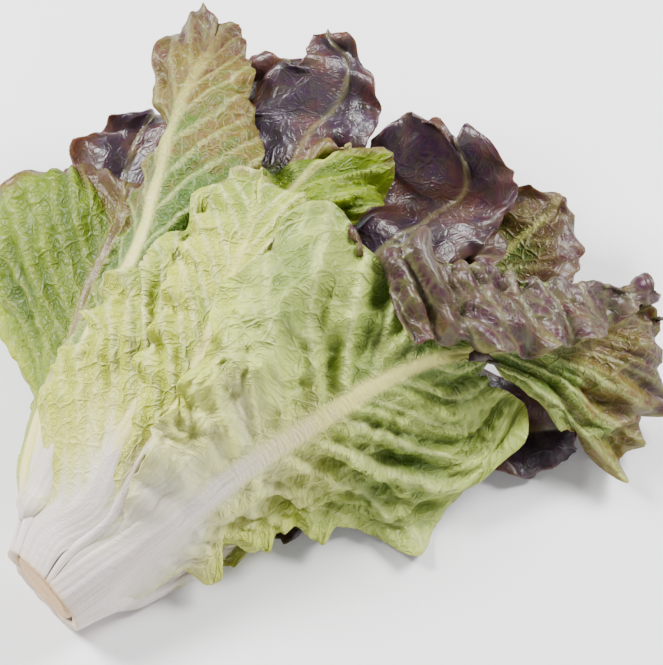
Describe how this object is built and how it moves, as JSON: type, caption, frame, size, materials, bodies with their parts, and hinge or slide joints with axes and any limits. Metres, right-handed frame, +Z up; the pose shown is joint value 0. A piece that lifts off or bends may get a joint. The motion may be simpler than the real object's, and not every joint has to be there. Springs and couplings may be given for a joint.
{
  "type": "red leaf lettuce head",
  "caption": "Loose head of red leaf lettuce lying on its side: broad crinkled leaves with pale midribs and purple tips, held by a cut stem core.",
  "frame": {"origin": "on the surface the head lies on, below the middle of its box", "axes": "+X runs from the cut stem to the leaf tips, +Y is the head's left seen from the cut stem, +Z is up"},
  "size_m": [0.2636, 0.283, 0.0939],
  "materials": {
    "cut_stem": "moist cut stem, cream to peach with a tan dried rim",
    "ribbed_green_leaf": "fresh leaf with a cream midrib, green blade and purple-brown rolled edge, soft sheen",
    "pale_leaf": "fresh leaf, white at the foot and pale yellow green above, soft sheen",
    "bright_leaf": "fresh bright green leaf, soft sheen",
    "olive_leaf": "olive leaf with a pale green midrib and purple-brown edges, glossy",
    "purple_leaf": "dark purple leaf with a bluish gloss, green towards the foot"
  },
  "bodies": {
    "root": {"stem_core": "cut_stem", "front_leaf": "ribbed_green_leaf", "centre_leaf": "pale_leaf", "fold_leaf": "pale_leaf", "torn_petiole": "pale_leaf", "tall_leaf": "ribbed_green_leaf", "left_leaf": "bright_leaf", "back_left_leaf": "purple_leaf", "top_leaf": "purple_leaf", "curled_leaf": "purple_leaf", "roll_leaf": "purple_leaf", "rib_leaf": "olive_leaf", "blush_leaf": "olive_leaf", "frill_leaf": "bright_leaf", "under_leaf_right": "purple_leaf", "under_leaf_centre": "purple_leaf", "under_leaf_left": "purple_leaf", "inner_leaf_low_left": "purple_leaf", "inner_leaf_low_right": "purple_leaf", "inner_leaf_middle": "purple_leaf", "inner_leaf_upper_left": "purple_leaf", "heart_leaf_one": "pale_leaf", "heart_leaf_two": "pale_leaf", "heart_leaf_three": "pale_leaf", "heart_leaf_four": "pale_leaf"}
  },
  "joints": []
}
